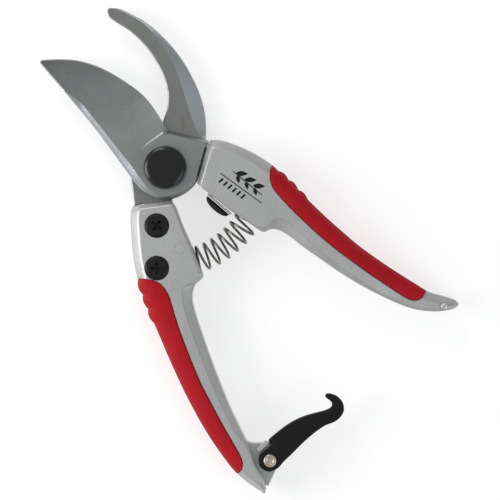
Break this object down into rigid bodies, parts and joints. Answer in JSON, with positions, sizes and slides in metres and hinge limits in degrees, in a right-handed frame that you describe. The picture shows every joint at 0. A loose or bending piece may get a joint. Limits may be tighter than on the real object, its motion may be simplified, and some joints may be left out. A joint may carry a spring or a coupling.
{
  "type": "pruning shears",
  "caption": "Bypass pruning shears with hooked counter blade, cast handles with soft grips, coil return spring and a hooked swing catch.",
  "frame": {"origin": "on the pivot axis, at the flat back face of the pivot bolt's head, which is level with the plane the shears lie on", "axes": "+Z along the pivot axis from the bolt head to the black cap (the side the picture shows), +Y toward the blade tips, +X toward the hooked counter blade and the cutting blade's handle"},
  "size_m": [0.1119, 0.1905, 0.0176],
  "materials": {
    "cast_handle": "silver paint over a fine cast texture, satin",
    "soft_grip": "matte red soft grip",
    "cutting_blade_steel": "satin, hollow ground",
    "hook_steel": "satin, bevelled outside",
    "black_oxide": "black oxide",
    "black_cap": "black, fine matte",
    "spring_wire": "bright wire with a brown tint",
    "rivet": "turned steel",
    "zinc": "zinc plated",
    "catch_paint": "black coating, satin",
    "bumper_rubber": "black matte"
  },
  "bodies": {
    "hook_side": {"hook_blade": "hook_steel", "hook_handle": "cast_handle", "hook_handle_grip": "soft_grip", "hook_handle_screw_upper": "black_oxide", "hook_handle_screw_lower": "black_oxide", "pivot_bolt": "zinc", "pivot_back_washer": "zinc", "pivot_friction_washer": "rivet", "pivot_washer": "zinc", "pivot_spring_washer": "black_oxide", "pivot_nut": "zinc", "pivot_cap": "black_cap", "catch_pin": "rivet", "catch_washer": "zinc", "return_spring": "spring_wire"},
    "blade_side": {"cutting_blade": "cutting_blade_steel", "blade_handle": "cast_handle", "blade_handle_grip": "soft_grip", "blade_handle_screw_upper": "zinc", "blade_handle_screw_lower": "zinc", "bumper": "bumper_rubber", "bumper_plate": "zinc", "catch_nib": "zinc"},
    "catch": {"catch_lever": "catch_paint"}
  },
  "joints": [
    {"name": "main_pivot", "type": "hinge", "parent": "hook_side", "child": "blade_side", "pos_m": [0, 0, 0.008], "axis": [0, 0, 1], "range_deg": [-31, 0], "stiffness_Nm_per_rad": 0.4, "springref_deg": 20.05, "deforming": ["return_spring"]},
    {"name": "catch_pivot", "type": "hinge", "parent": "hook_side", "child": "catch", "pos_m": [-0.0429, -0.1159, 0.0125], "axis": [0, 0, 1], "range_deg": [-100, 0]}
  ]
}
